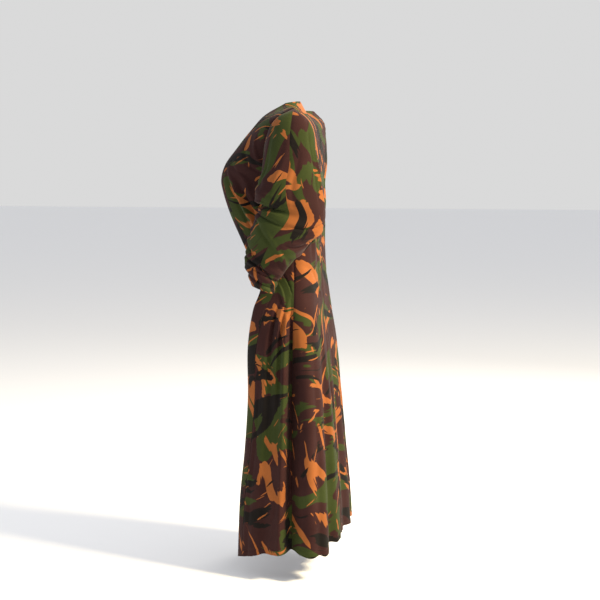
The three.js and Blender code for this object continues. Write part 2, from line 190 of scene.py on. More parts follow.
drape = {
    "rightCreaseGain": 1.35,
    "foldWidth": 190,     # cloth between two seams, which sets how a body crease slants
    "sleeveRound": 250,   # half of the way round a sleeve
    "sleeveLength": 520,
    "ripple": 1.1,        # height of the slow unevenness all over
    "rippleLength": 75,
    "fineRipple": 0.4,    # a finer unevenness, as a share of the slow one
    "fineRippleRate": 2.3,
    "seamDip": 1.3,       # how far the cloth is drawn in at a seam
    "seamWidth": 4.0,
    "stitchDip": 0.6,
    "stitchWidth": 1.8,
    "hemFullness": 0.4,
    "hemEdge": 6,
    "hemWave": 9,
    "pucker": 0.7,
    "puckerRate": 6.28 / 17,  # radians for each millimetre of seam
    "puckerReach": 14,
    "puckerDrift": 2.2,
    "puckerDriftLength": 61,
    "puckerUnevenness": 0.4,
    "puckerUnevenLength": 97,
    "creaseTaper": 0.8,
    "creaseRebound": 0.45,  # how far the cloth beside a crease swings back
    "creaseFall": 0.9,
}
# Narrow folds of the skirt, in the columns of the folds above
leftFineFolds = [
    (0.1, 0.03, -700, -1000, hem, -3.0, 0.045, 0),
    (0.24, 0.05, -620, -860, -1330, 3.4, 0.05, 0),
    (0.42, -0.03, -570, -640, -980, -12.0, 0.065, 0),
    (0.6, -0.03, -570, -650, -1060, 10.0, 0.055, 0),
    (0.68, -0.05, -570, -690, -1100, 6.0, 0.06, 0),
    (0.8, -0.02, -570, -700, -1250, -7.0, 0.06, 0),
    (0.75, 0.02, -560, -700, hem, 8.0, 0.06, 0),
    (0.89, 0.02, -540, -720, hem, -24.0, 0.085, -2),
    (1.07, 0.01, -600, -820, hem, 5.0, 0.035, -2),
    (1.26, 0.02, -640, -980, hem, -7.0, 0.045, 5),
    (1.44, -0.01, -700, -1020, hem, 5.0, 0.04, -4),
    (1.62, 0.03, -560, -900, hem, 6.0, 0.05, -4),
    (1.83, 0.02, -600, -960, hem, -8.0, 0.06, 5),
    (1.96, 0.0, -520, -980, hem, 5.0, 0.07, -3),
    (1.3, 0.06, -230, -330, -520, -5.0, 0.05, 0),
    (1.55, -0.05, -260, -380, -560, 5.0, 0.06, 0),
    (1.78, -0.06, -240, -400, -600, -4.5, 0.06, 0),
]
rightFineFolds = [
    (0.13, 0.02, -720, -1020, hem, -3.2, 0.05, 0),
    (0.3, 0.04, -640, -900, -1300, 3.0, 0.05, 0),
    (0.5, -0.03, -610, -800, -1240, 4.2, 0.045, 0),
    (0.73, -0.02, -620, -800, hem, -4.8, 0.035, 3),
    (0.9, 0.01, -600, -800, hem, 4.0, 0.04, -2),
    (1.1, 0.01, -640, -880, hem, 5.2, 0.04, -3),
    (1.3, 0.0, -680, -1040, hem, -6.0, 0.05, 4),
    (1.47, 0.02, -660, -980, hem, 4.0, 0.04, -3),
    (1.68, 0.01, -600, -940, hem, 5.0, 0.05, -3),
    (1.87, -0.02, -620, -1000, hem, -7.0, 0.06, 4),
    (1.27, 0.08, -240, -350, -540, -4.6, 0.05, 0),
    (1.58, -0.06, -250, -360, -530, 4.4, 0.06, 0),
    (1.82, -0.04, -280, -420, -620, -4.0, 0.06, 0),
]
# Slanting creases of the body: around and z at one end and at the other, bow, depth, spread
leftCreases = [
    (0.06, -170, 0.26, -425, 6, -5.0, 7),
    (0.12, -165, 0.33, -425, 8, 5.0, 7),
    (0.18, -205, 0.37, -390, 4, 8.0, 6),
    (0.25, -205, 0.44, -392, 4, -10.0, 7),
    (0.3, -170, 0.5, -320, 4, 4.5, 8),
    (0.4, -222, 0.66, -420, 5, -5.5, 7),
    (0.52, -232, 0.84, -410, 5, 5.0, 7),
    (0.75, -250, 1.0, -330, 3, 4.0, 6),
    (0.3, -90, 0.8, -205, -10, -4.0, 9),
    (0.55, -70, 0.95, -190, -8, 3.6, 9),
    (0.12, -150, 0.5, -205, -6, -3.0, 8),
    (0.4, -470, 0.95, -566, 6, -5.0, 7),
    (0.2, -520, 0.7, -606, 6, 4.2, 8),
    (0.3, -560, 0.95, -640, 5, -3.6, 8),
    (1.05, -230, 1.35, -300, 5, -4.8, 7),
    (1.05, -262, 1.45, -345, 5, 4.0, 8),
    (1.2, -110, 1.55, -160, -8, -3.6, 9),
    (1.5, -60, 1.85, -110, 6, -3.0, 10),
    (1.1, -470, 1.6, -540, 10, -4.4, 9),
    (1.3, -520, 1.85, -575, 10, 4.0, 9),
    (1.15, -1290, 1.45, -1200, 4, 3.0, 8),
    (0.5, -1300, 0.75, -1180, -4, -3.0, 9),
]
rightCreases = [
    (0.18, -210, 0.54, -446, 8, 4.0, 7),
    (0.25, -220, 0.66, -455, 7, -5.0, 6),
    (0.4, -236, 0.84, -420, 6, 3.8, 7),
    (0.55, -240, 0.93, -380, 5, -4.2, 6),
    (0.34, -95, 0.84, -200, -9, -3.2, 9),
    (0.58, -75, 0.95, -180, -8, 2.8, 9),
    (0.5, -480, 0.97, -575, 6, -3.2, 7),
    (0.25, -535, 0.72, -620, 6, 2.8, 8),
    (1.05, -240, 1.4, -320, 5, -3.8, 7),
    (1.07, -275, 1.5, -370, 5, 3.2, 8),
    (1.22, -115, 1.52, -150, -8, -2.8, 9),
    (1.55, -64, 1.88, -120, 6, -2.4, 10),
    (1.15, -480, 1.66, -556, 10, -3.2, 9),
    (1.2, -1280, 1.5, -1190, 4, 2.4, 8),
    (0.45, -1290, 0.7, -1170, -4, -2.2, 9),
]
# Creases of a sleeve: turn and along at one end and at the other, bow, depth, spread
leftSleeveCreases = [
    (-0.78, 0.455, 0.0, 0.472, 12, -15.0, 6),
    (-0.68, 0.42, -0.1, 0.43, 8, 7.0, 8),
    (-0.7, 0.5, 0.0, 0.515, 9, 7.5, 6),
    (-0.6, 0.56, 0.06, 0.585, 6, -8.0, 6),
    (-0.56, 0.6, -0.1, 0.63, 6, 4.0, 8),
    (0.5, 0.49, -0.02, 0.575, -8, -6.5, 6),
    (0.56, 0.53, 0.1, 0.61, -8, 6.0, 7),
    (0.62, 0.57, 0.12, 0.67, -8, -7.0, 6),
    (0.7, 0.61, 0.3, 0.72, -8, 5.0, 7),
    (-0.5, 0.4, 0.1, 0.43, 8, -5.0, 7),
    (-0.46, 0.35, -0.05, 0.4, 6, 4.2, 7),
    (-0.55, 0.3, -0.2, 0.34, 6, -3.6, 7),
    (0.16, 0.1, 0.36, 0.44, -14, -5.2, 9),
    (0.3, 0.12, 0.47, 0.42, -10, 6.5, 8),
    (0.42, 0.14, 0.6, 0.44, -8, -5.5, 8),
    (-0.2, 0.12, -0.3, 0.38, 8, -4.2, 9),
    (0.02, 0.18, -0.12, 0.42, 6, 3.6, 9),
    (0.1, 0.22, 0.05, 0.46, 6, -3.6, 8),
    (-0.7, 0.65, -0.36, 0.69, 3, -5.0, 4),
    (-0.68, 0.675, -0.3, 0.72, 3, 4.4, 4),
    (-0.68, 0.7, -0.28, 0.75, 3, -5.4, 4),
    (-0.66, 0.73, -0.26, 0.78, 3, 4.6, 4),
    (-0.66, 0.76, -0.06, 0.81, 5, -6.4, 5),
    (-0.4, 0.62, 0.2, 0.72, 10, -5.0, 7),
    (-0.1, 0.66, 0.45, 0.77, 8, 4.6, 7),
    (0.0, 0.71, 0.5, 0.81, 8, -4.6, 6),
    (-0.8, 0.825, 0.5, 0.845, 8, -7.5, 6),
    (-0.5, 0.85, 0.4, 0.872, 6, 5.0, 6),
    (-0.2, 0.885, 0.8, 0.9, -6, -7.0, 6),
    (-0.8, 0.9, 0.2, 0.925, 6, 5.0, 6),
    (-0.6, 0.945, 0.6, 0.955, 5, -6.0, 5),
]
rightSleeveCreases = [
    (-0.7, 0.49, 0.02, 0.505, 10, -8.5, 6),
    (-0.66, 0.458, -0.06, 0.465, 8, 4.8, 8),
    (-0.58, 0.54, 0.1, 0.572, 6, -5.2, 5),
    (0.52, 0.5, 0.0, 0.585, -8, -4.2, 6),
    (0.58, 0.545, 0.12, 0.62, -8, 3.8, 7),
    (0.64, 0.585, 0.16, 0.68, -8, -4.6, 6),
    (-0.48, 0.395, 0.08, 0.42, 8, -3.2, 7),
    (0.2, 0.12, 0.38, 0.42, -14, -3.2, 10),
    (0.36, 0.14, 0.48, 0.4, -10, 3.4, 9),
    (-0.16, 0.14, -0.28, 0.38, 8, -2.6, 10),
    (-0.6, 0.67, -0.28, 0.715, 3, -3.0, 4),
    (-0.58, 0.705, -0.22, 0.75, 3, 2.6, 4),
    (-0.6, 0.735, -0.2, 0.785, 3, -3.4, 4),
    (-0.36, 0.63, 0.24, 0.73, 10, -3.2, 7),
    (-0.06, 0.675, 0.5, 0.78, 8, 2.8, 7),
    (-0.66, 0.82, 0.56, 0.845, 8, -4.8, 6),
    (-0.26, 0.865, 0.76, 0.89, -6, -4.4, 6),
    (-0.76, 0.905, 0.26, 0.92, 6, 3.4, 6),
    (-0.62, 0.95, 0.58, 0.955, 5, -4.0, 5),
]


def lerp(a, b, t):
    return a + (b - a) * t


def ramp(value, start, end):
    t = np.clip((value - start) / (end - start), 0.0, 1.0)
    return t * t * (3 - 2 * t)


def bell(distance, spread):
    return np.exp(-((distance / spread) ** 2))


def lengthsAlong(points):
    steps = np.linalg.norm(np.diff(points, axis=0), axis=1)
    return np.concatenate([[0.0], np.cumsum(steps)])


def curvePoints(handles, wanted):
    # points of a four-handle curve, where wanted gives millimetres along it from its length
    t = np.linspace(0, 1, meshing["curveSamples"])[:, None]
    a, b, c, d = [np.array(handle, float) for handle in handles]
    curve = (1 - t) ** 3 * a + 3 * (1 - t) ** 2 * t * b + 3 * (1 - t) * t**2 * c + t**3 * d
    length = lengthsAlong(curve)
    places = wanted(length[-1])
    return np.stack([np.interp(places, length, curve[:, axis]) for axis in range(3)], axis=1)


def loft(rows, places):
    # a smooth curve down each column of rows, at the places given for each stretch
    rows = np.array(rows, float)
    ends = [2 * rows[0] - rows[1], 2 * rows[-1] - rows[-2]]
    padded = np.concatenate([ends[0][None], rows, ends[1][None]])
    result = [rows[0][None]]
    noGap = 1e-4
    for i, t in enumerate(places):
        stretch = padded[i : i + 4]
        p0, p1, p2, p3 = stretch
        gaps = [
            np.sum((b - a) ** 2, axis=1, keepdims=True) ** 0.25
            for a, b in zip(stretch, stretch[1:])
        ]
        middle = np.where(gaps[1] < noGap, 1.0, gaps[1])
        first = np.where(gaps[0] < noGap, middle, gaps[0])
        last = np.where(gaps[2] < noGap, middle, gaps[2])
        slope1 = ((p1 - p0) / first - (p2 - p0) / (first + middle) + (p2 - p1) / middle) * middle
        slope2 = ((p2 - p1) / middle - (p3 - p1) / (middle + last) + (p3 - p2) / last) * middle
        t = np.array(t)[:, None, None]
        result.append(
            p1 + slope1 * t
            + (-3 * p1 + 3 * p2 - 2 * slope1 - slope2) * t**2
            + (2 * p1 - 2 * p2 + slope1 + slope2) * t**3
        )
    return np.concatenate(result)


def stretchPlaces(lengths, hemWidth):
    # even places down each stretch, and closer ones at the hem's stitch line in the last
    places = []
    for length in lengths:
        even = np.arange(1, max(2, round(length / meshing["cell"])) + 1)
        places.append(even / even[-1])
    close = hemWidth + np.array(meshing["besideHemStitch"])
    places[-1] = np.union1d(np.round(places[-1], 4), np.round(1 - close / lengths[-1], 4))
    return places


def withClose(count, width, close):
    # even places from 0 to 1, with closer ones near both ends
    even = np.linspace(0, 1, count + 1)
    near = np.array(close) / width
    return np.unique(np.round(np.concatenate([even, near, 1 - near]), 5))


def creaseDepth(across, down, rows):
    # bowed creases, each with the cloth beside it swung the other way
    taper, rebound, fall = drape["creaseTaper"], drape["creaseRebound"], drape["creaseFall"]
    depth = np.zeros_like(across)
    for acrossA, downA, acrossB, downB, bow, deep, spread in rows:
        runX, runY = acrossB - acrossA, downB - downA
        length = math.hypot(runX, runY)
        t = ((across - acrossA) * runX + (down - downA) * runY) / length**2
        off = ((down - downA) * runX - (across - acrossA) * runY) / length
        inside = np.clip(t, 0, 1)
        off = (off - bow * 4 * inside * (1 - inside)) / spread
        profile = (1 - rebound * off**2) * np.exp(-(off**2) * fall)
        depth += deep * np.sin(math.pi * inside) ** taper * profile
    return depth


def folded(grid, around, folds, creases):
    # moves the body's points in or out from the upright axis
    z = grid[..., 2]
    depth = np.zeros_like(z)
    rise = np.zeros_like(z)
    for place, drift, topZ, fullZ, endZ, deep, spread, lift in folds:
        grown = ramp(z, topZ, fullZ)
        kept = 1.0 if endZ is None else 1 - ramp(z, fullZ, endZ)
        shape = bell(around - place - drift * grown, spread)
        depth += deep * grown * kept * shape
        rise += lift * ramp(z, robeForm["hemLiftStart"], robeForm["hemLevel"]) * shape
    width = drape["foldWidth"]
    slants = [
        (fromAround * width, fromZ, toAround * width, toZ, *rest)
        for fromAround, fromZ, toAround, toZ, *rest in creases
    ]
    depth += creaseDepth(around * width + 0 * z, z, slants)
    reach = np.hypot(grid[..., 0], grid[..., 1])
    return np.stack([
        grid[..., 0] * (1 + depth / reach),
        grid[..., 1] * (1 + depth / reach),
        z + rise,
    ], axis=-1)


def frontHandles(edgeX, edgeY, edgeZ, sideX, sideY, sideZ, edgeRun, edgeDrop, sideRun):
    return (
        (edgeX, edgeY, edgeZ),
        (lerp(edgeX, sideX, edgeRun), edgeY, lerp(edgeZ, sideZ, 1 / 3) - edgeDrop),
        (sideX, lerp(sideY, edgeY, sideRun), lerp(edgeZ, sideZ, 2 / 3)),
        (sideX, sideY, sideZ),
    )


def frontSurface(bandPlaces, frontPlaces, rowPlaces):
    def wanted(length):
        inside = robeForm["bandWidth"] + (length - robeForm["bandWidth"]) * frontPlaces[1:]
        return np.concatenate([bandPlaces * robeForm["bandWidth"], inside])

    rows = [curvePoints(frontHandles(*section), wanted) for section in frontSections]
    columns = robeForm["frontColumns"]
    share = ramp(frontPlaces[1:] * columns, columns - 1, columns)
    return withSideColumn(rows, rowPlaces, -1, np.concatenate([0 * bandPlaces, share])), rows[0]


def withSideColumn(rows, rowPlaces, column, share):
    # the side is two curves that meet at the underarm, and its share of that turn fades inwards
    grid = loft(rows, rowPlaces)
    side = [row[column][None] for row in rows]
    turn = robeForm["underarmRow"]
    armhole = loft(side[: turn + 1], rowPlaces[:turn])
    seam = loft(side[turn:], rowPlaces[turn:])
    moved = np.concatenate([armhole, seam[1:]])[:, 0] - grid[:, column]
    return grid + moved[:, None] * share[None, :, None]


def neckPoints(side, nape, angle):
    turn = 1 - np.cos(angle)
    x, y, z = side[0] * np.sin(angle), lerp(nape[1], side[1], turn), lerp(nape[2], side[2], turn)
    return np.stack([x, y, z], axis=-1)


def backSurface(backPlaces, rowPlaces):
    # columns are counted as in the solid: shoulder seam first, then the neck seam
    shoulder, neck = robeForm["frontColumns"], robeForm["neckColumns"]
    last = shoulder + neck
    onShoulder = backPlaces[backPlaces <= shoulder] / shoulder
    top = curvePoints(
        frontHandles(*frontSections[0]),
        lambda length: lerp(length, robeForm["bandWidth"], onShoulder),
    )
    onNeck = backPlaces[backPlaces > shoulder]
    neckSeam = neckPoints(top[-1], napeSeam, (last - onNeck) / neck * math.pi / 2)
    top = np.concatenate([top, neckSeam])
    lengths = lengthsAlong(top)
    rows = [top]
    for i in range(1, len(backSections)):
        sideX, sideY, sideZ, backY, backZ, sideRun, backRun = backSections[i]
        if i > robeForm["underarmRow"]:
            sideX, sideY, sideZ = frontSections[i][3:6]
        handles = (
            (sideX, sideY, sideZ),
            (sideX, lerp(sideY, backY, sideRun), lerp(sideZ, backZ, 1 / 3)),
            (sideX * backRun, backY, lerp(sideZ, backZ, 2 / 3)),
            (0, backY, backZ),
        )
        shares = lerp(lengths / lengths[-1], backPlaces / last, ramp(i, 0, robeForm["underarmRow"]))
        rows.append(curvePoints(handles, lambda length: shares * length))
    return withSideColumn(rows, rowPlaces, 0, 1 - ramp(backPlaces, 0, 1))


def sleeveSurface(armhole, turns, way, rings, creases):
    # turns is each armhole point's place from the shoulder, 0, to the underarm, 1
    power = 2 / robeForm["ringSquareness"]
    cosine, sine = np.cos(turns * math.pi), np.clip(np.sin(turns * math.pi), 0, 1)
    out = (np.sign(cosine) * np.abs(cosine) ** power)[:, None]
    across = (way * sine**power)[:, None]
    rows = [armhole]
    for x, y, z, acrossY, acrossZ, outX, outY, outZ, _ in rings:
        middle, outward = np.array([x, y, z], float), np.array([outX, outY, outZ], float)
        rows.append(middle + outward * out + np.array([0.0, acrossY, acrossZ]) * across)
    lengths = [np.linalg.norm(b - a, axis=1).max() for a, b in zip(rows, rows[1:])]
    places = stretchPlaces(lengths, robeForm["sleeveHem"])
    places[0] = np.union1d(places[0], np.round(np.array(meshing["besideSeam"]) / lengths[0], 4))
    grid = loft(rows, places)
    weights = [ring[-1] for ring in rings]
    along = [np.zeros(1)]
    for i, t in enumerate(places):
        along.append((sum(weights[:i]) + weights[i] * t) / sum(weights))
    along = np.concatenate(along)[:, None]
    turn = way * turns[None, :]
    depth = np.zeros(grid.shape[:2])
    for place, spread, dentTurn, turnSpread, deep in sleeveDents:
        away = np.abs(turn - dentTurn)
        depth += deep * bell(along - place, spread) * bell(np.minimum(away, 2 - away), turnSpread)
    width, length = drape["sleeveRound"], drape["sleeveLength"]
    slants = [
        (fromTurn * width, fromAlong * length, toTurn * width, toAlong * length, *rest)
        for fromTurn, fromAlong, toTurn, toAlong, *rest in creases
    ]
    for shift in (-2, 0, 2):  # a crease may cross the underarm seam
        depth += creaseDepth((turn + shift) * width + 0 * depth, along * length + 0 * depth, slants)
    middle = (grid[:, :1] + grid[:, -1:]) / 2
    outward = grid - middle
    outward /= np.linalg.norm(outward, axis=2, keepdims=True)
    return grid + outward * depth[..., None]


def surfaceNormals(grid):
    across = np.gradient(grid, axis=1)
    down = np.gradient(grid, axis=0)
    normal = np.cross(down, across)
    return normal / np.maximum(np.linalg.norm(normal, axis=2, keepdims=True), 1e-9)


def distancesFrom(grid, axis, start):
    # how far each point lies along its row or column from that row's or column's start
    steps = np.linalg.norm(np.diff(grid, axis=axis), axis=2)
    pad = [(1, 0), (0, 0)] if axis == 0 else [(0, 0), (1, 0)]
    total = np.pad(np.cumsum(steps, axis=axis), pad)
    return total - np.take(total, [start], axis=axis)


def rippled(grid, outward, seed, hemWidth):
    # slow unevenness all over, and cloth drawn in and puckered along its seams
    seams = [(1, 0), (1, -1), (0, 0)]  # both side borders and the top one
    normal = surfaceNormals(grid) * outward
    heights = []
    for point in grid.reshape(-1, 3).tolist():
        place = Vector(point) / drape["rippleLength"]
        fine = noise.noise(place * drape["fineRippleRate"])
        heights.append(noise.noise(place) + drape["fineRipple"] * fine)
    height = np.array(heights).reshape(grid.shape[:2]) * drape["ripple"]
    uneven = drape["puckerUnevenness"]
    for axis, start in seams:
        away = np.abs(distancesFrom(grid, axis, start))
        run = distancesFrom(grid, 1 - axis, 0)
        drift = drape["puckerDrift"] * np.sin(run / drape["puckerDriftLength"] + seed)
        waves = np.sin(run * drape["puckerRate"] + drift + seed)
        strength = 1 - uneven + uneven * np.sin(run / drape["puckerUnevenLength"] + 2 * seed)
        height += drape["pucker"] * waves * bell(away, drape["puckerReach"]) * strength
    kept = np.ones(grid.shape[:2])
    for axis, start in seams:
        kept *= 1 - bell(np.abs(distancesFrom(grid, axis, start)), drape["seamWidth"])
    height += drape["seamDip"]
    # the hem's stitch line, with the turned-up cloth a little fuller below it
    up = np.abs(distancesFrom(grid, 0, -1))
    run = distancesFrom(grid, 1, 0)
    below = 1 - ramp(up, hemWidth - drape["hemEdge"], hemWidth)
    height -= drape["stitchDip"] * bell(up - hemWidth, drape["stitchWidth"])
    height += drape["hemFullness"] * below * (1 + np.sin(run / drape["hemWave"] + seed))
    return grid + normal * (height * kept)[..., None]


def clothPlaces(grid, startRow, startColumn, lay, shift=0, way=1):
    # where each point lies on the printed cloth, in metres; the given row and column lie straight
    turn, placeAlong, placeAcross = lay
    across = distancesFrom(grid, 1, startColumn)
    down = distancesFrom(grid, 0, startRow)
    angle = math.radians(turn * way)
    u = across * math.cos(angle) - down * math.sin(angle)
    v = across * math.sin(angle) + down * math.cos(angle)
    return np.stack([u * mm + (placeAlong + shift), v * mm + placeAcross], axis=-1)


# Half bodies, built on the wearer's left and mirrored for the right

rowLengths = [
    max(math.dist(a[:3], b[:3]), math.dist(a[3:6], b[3:6]))
    for a, b in zip(frontSections, frontSections[1:])
]
rowPlaces = stretchPlaces(rowLengths, robeForm["bodyHem"])
bandPlaces = withClose(meshing["bandCells"], robeForm["bandWidth"], meshing["besideSeam"][:1])
frontPlaces = withClose(meshing["frontCells"], meshing["frontWidth"], meshing["besideSeam"])
shoulderEnd = robeForm["frontColumns"]
backPlaces = np.unique(np.concatenate([
    np.linspace(0, shoulderEnd, meshing["shoulderCells"] + 1),
    np.array(meshing["besideSeam"]) / meshing["shoulderColumn"],
    np.linspace(shoulderEnd, shoulderEnd + robeForm["neckColumns"], meshing["backNeckCells"] + 1),
]))
armholePlaces = rowPlaces[: robeForm["underarmRow"]]
armholeRows = 1 + sum(len(t) for t in armholePlaces)
armholeTurns = np.concatenate([[0.0]] + [i + t for i, t in enumerate(armholePlaces)])
armholeTurns /= robeForm["underarmRow"]


def halfRobe(folds, creases, rings, sleeveCreases):
    plain, shoulderRow = frontSurface(bandPlaces, frontPlaces, rowPlaces)
    bandCount = len(bandPlaces)
    bandAround = (bandPlaces - 1) * robeForm["bandColumns"] / robeForm["frontColumns"]
    around = np.concatenate([bandAround, frontPlaces[1:]])[None, :]
    front = folded(plain, around, folds, creases)
    backAround = 1 + backPlaces[None, :] / backPlaces[-1]
    back = folded(backSurface(backPlaces, rowPlaces), backAround, folds, creases)
    neck = []
    for angle in np.linspace(0, math.pi / 2, meshing["neckRings"]):
        neck.append([
            neckPoints(side, lerp(napeEdge, napeSeam, place), angle)
            for side, place in zip(shoulderRow[:bandCount], bandPlaces)
        ])
    sleeves = {}
    for key, armhole, way in (
        ("sleeve_front", front[:armholeRows, -1], -1),
        ("sleeve_back", back[:armholeRows, 0], 1),
    ):
        sleeves[key] = sleeveSurface(armhole, armholeTurns, way, rings, sleeveCreases)
    return {
        "neck": np.array(neck),
        "band": front[:, :bandCount],
        "front": front[:, bandCount - 1 :],
        "back": back,
        **sleeves,
    }


def gained(creases):
    return [(*row[:5], row[5] * drape["rightCreaseGain"], row[6]) for row in creases]


leftHalf = halfRobe(leftFolds + leftFineFolds, leftCreases, leftRings, leftSleeveCreases)
rightHalf = halfRobe(
    rightFolds + rightFineFolds, gained(rightCreases), rightRings, gained(rightSleeveCreases)
)
for name, grid in rightHalf.items():
    rightHalf[name] = grid * np.array([-1, 1, 1])
# the two backs meet in one line at the centre
nearCentre = ramp(backPlaces / backPlaces[-1], robeForm["centreBlend"], 1)[None, :, None]
apart = (leftHalf["back"][:, -1:] - rightHalf["back"][:, -1:]) / 2
leftHalf["back"] -= apart * nearCentre
rightHalf["back"] += apart * nearCentre
print("cloth surfaces worked out")

# Finishes

printColours = {
    "brown": (0.0265, 0.0082, 0.0080),
    "green": (0.0250, 0.0350, 0.0075),
    "tan": (0.245, 0.078, 0.020),
    "black": (0.0055, 0.0040, 0.0036),
    "faded": (0.105, 0.072, 0.05),  # what the wrong side fades towards
}
# colour, turn of its strokes, their length and width in metres, ground left bare, own place
printLayers = [
    ("green", -20, 0.170, 0.105, 0.520, 3.1),
    ("tan", 62, 0.135, 0.082, 0.600, 7.7),
    ("black", -28, 0.200, 0.060, 0.595, 12.3),
    ("tan", -38, 0.120, 0.018, 0.690, 19.3),
]
printForm = {
    "bendScale": 3.6,
    "bendReach": 0.22,
    "strokeDetail": 1.4,
    "strokeRoughness": 0.4,
    "strokeDistortion": 0.9,
    "bristleStretch": (0.8, 8, 1),
    "bristleDistortion": 0.3,
    "bristleReach": 0.15,
    "edgeWidth": 0.012,
    "noiseRange": (0.3, 0.7),
    "dyeScale": 9.0,
    "dyeRange": (0.88, 1.1),
    "fibreScale": 900.0,
    "fibreRange": (0.9, 1.1),
    "toneRange": (0.8, 1.2),
    "roughnessRange": (0.86, 0.72),
}
clothFinish = {
    "sheen": 0.03,
    "sheenRoughness": 0.45,
    "specular": 0.12,
    "twillScale": 289.5194,  # ribs about a millimetre apart
    "twillDistortion": 1.5,
    "twillDepth": 0.00012,
    "twillStrength": 0.6,
    "yarnScale": 450.0,
    "wrongSideFade": 0.5,
}


def addNode(tree, kind, **settings):
    node = tree.nodes.new(kind)
    for name, value in settings.items():
        setattr(node, name, value)
    return node


def fill(tree, socket, value):
    # a socket takes a value, or another node's output
    if isinstance(value, bpy.types.NodeSocket):
        tree.links.new(value, socket)
    else:
        socket.default_value = value


def mathStep(tree, operation, *values):
    node = addNode(tree, "ShaderNodeMath", operation=operation)
    for socket, value in zip(node.inputs, values):
        fill(tree, socket, value)
    return node.outputs[0]


def vectorStep(tree, operation, *values):
    node = addNode(tree, "ShaderNodeVectorMath", operation=operation)
    for socket, value in zip(node.inputs, values):
        fill(tree, socket, value)
    return node.outputs[0]


def mixColours(tree, share, first, second):
    node = addNode(tree, "ShaderNodeMix", data_type="RGBA")
    fill(tree, node.inputs[0], share)
    fill(tree, node.inputs[6], first)
    fill(tree, node.inputs[7], second)
    return node.outputs[2]


def noiseTexture(tree, place, scale, detail=2.0, roughness=0.5, distortion=0.0):
    node = addNode(tree, "ShaderNodeTexNoise")
    fill(tree, node.inputs["Vector"], place)
    fill(tree, node.inputs["Scale"], scale)
    fill(tree, node.inputs["Detail"], detail)
    fill(tree, node.inputs["Roughness"], roughness)
    fill(tree, node.inputs["Distortion"], distortion)
    return node


def mapRange(tree, value, low, high, toLow=0.0, toHigh=1.0):
    node = addNode(tree, "ShaderNodeMapRange", interpolation_type="SMOOTHSTEP")
    names = ("Value", "From Min", "From Max", "To Min", "To Max")
    for name, given in zip(names, (value, low, high, toLow, toHigh)):
        fill(tree, node.inputs[name], given)
    return node.outputs[0]


def newGroup(name, inputs, outputs):
    group = bpy.data.node_groups.new(name, "ShaderNodeTree")
    for socket, kind, value in inputs:
        made = group.interface.new_socket(socket, in_out="INPUT", socket_type=kind)
        if value is not None:
            made.default_value = value
    for socket, kind in outputs:
        group.interface.new_socket(socket, in_out="OUTPUT", socket_type=kind)
    return group, addNode(group, "NodeGroupInput"), addNode(group, "NodeGroupOutput")


def strokeMask(tree, cloth, turn, length, width, bare, seed):
    # brush strokes of one colour, with bristle marks at their ends
    place = addNode(tree, "ShaderNodeMapping", vector_type="TEXTURE")
    place.inputs["Rotation"].default_value = (0, 0, math.radians(turn))
    place.inputs["Scale"].default_value = (length, width, 1)
    fill(tree, place.inputs["Vector"], cloth)
    shifted = vectorStep(tree, "ADD", place.outputs[0], (seed, -seed, seed))
    shape = noiseTexture(
        tree, shifted, 1.0,
        printForm["strokeDetail"], printForm["strokeRoughness"], printForm["strokeDistortion"],
    )
    stretched = vectorStep(tree, "MULTIPLY", shifted, printForm["bristleStretch"])
    bristles = noiseTexture(tree, stretched, 1.0, 1.0, distortion=printForm["bristleDistortion"])
    centred = mathStep(tree, "SUBTRACT", bristles.outputs[0], 0.5)
    ragged = mathStep(tree, "MULTIPLY", centred, printForm["bristleReach"])
    edge = mathStep(tree, "ADD", shape.outputs[0], ragged)
    return mapRange(tree, edge, bare, bare + printForm["edgeWidth"])


def makeCamouflagePrint():
    group, entry, leave = newGroup(
        "camouflagePrint",
        [("Cloth", "NodeSocketVector", None), ("Fade", "NodeSocketFloat", 0.0)],
        [("Colour", "NodeSocketColor"), ("Roughness", "NodeSocketFloat")],
    )
    cloth = entry.outputs["Cloth"]
    bend = noiseTexture(group, cloth, printForm["bendScale"], 1.0)
    swing = vectorStep(group, "SUBTRACT", bend.outputs["Color"], (0.5, 0.5, 0.5))
    reach = (printForm["bendReach"], printForm["bendReach"], 0.0)
    warped = vectorStep(group, "ADD", cloth, vectorStep(group, "MULTIPLY", swing, reach))
    colour = (*printColours["brown"], 1)
    for name, turn, length, width, bare, seed in printLayers:
        mask = strokeMask(group, warped, turn, length, width, bare, seed)
        colour = mixColours(group, mask, colour, (*printColours[name], 1))
    dyeNoise = noiseTexture(group, cloth, printForm["dyeScale"], 3.0)
    fibreNoise = noiseTexture(group, cloth, printForm["fibreScale"])
    noiseSpan = printForm["noiseRange"]
    dyeing = mapRange(group, dyeNoise.outputs[0], *noiseSpan, *printForm["dyeRange"])
    fibre = mapRange(group, fibreNoise.outputs[0], *noiseSpan, *printForm["fibreRange"])
    tone = mathStep(group, "MULTIPLY", dyeing, fibre)
    spread = addNode(group, "ShaderNodeCombineXYZ")
    for socket in spread.inputs:
        fill(group, socket, tone)
    toned = vectorStep(group, "MULTIPLY", colour, spread.outputs[0])
    faded = mixColours(group, entry.outputs["Fade"], toned, (*printColours["faded"], 1))
    dullness = mapRange(group, tone, *printForm["toneRange"], *printForm["roughnessRange"])
    fill(group, leave.inputs["Colour"], faded)
    fill(group, leave.inputs["Roughness"], dullness)
    return group


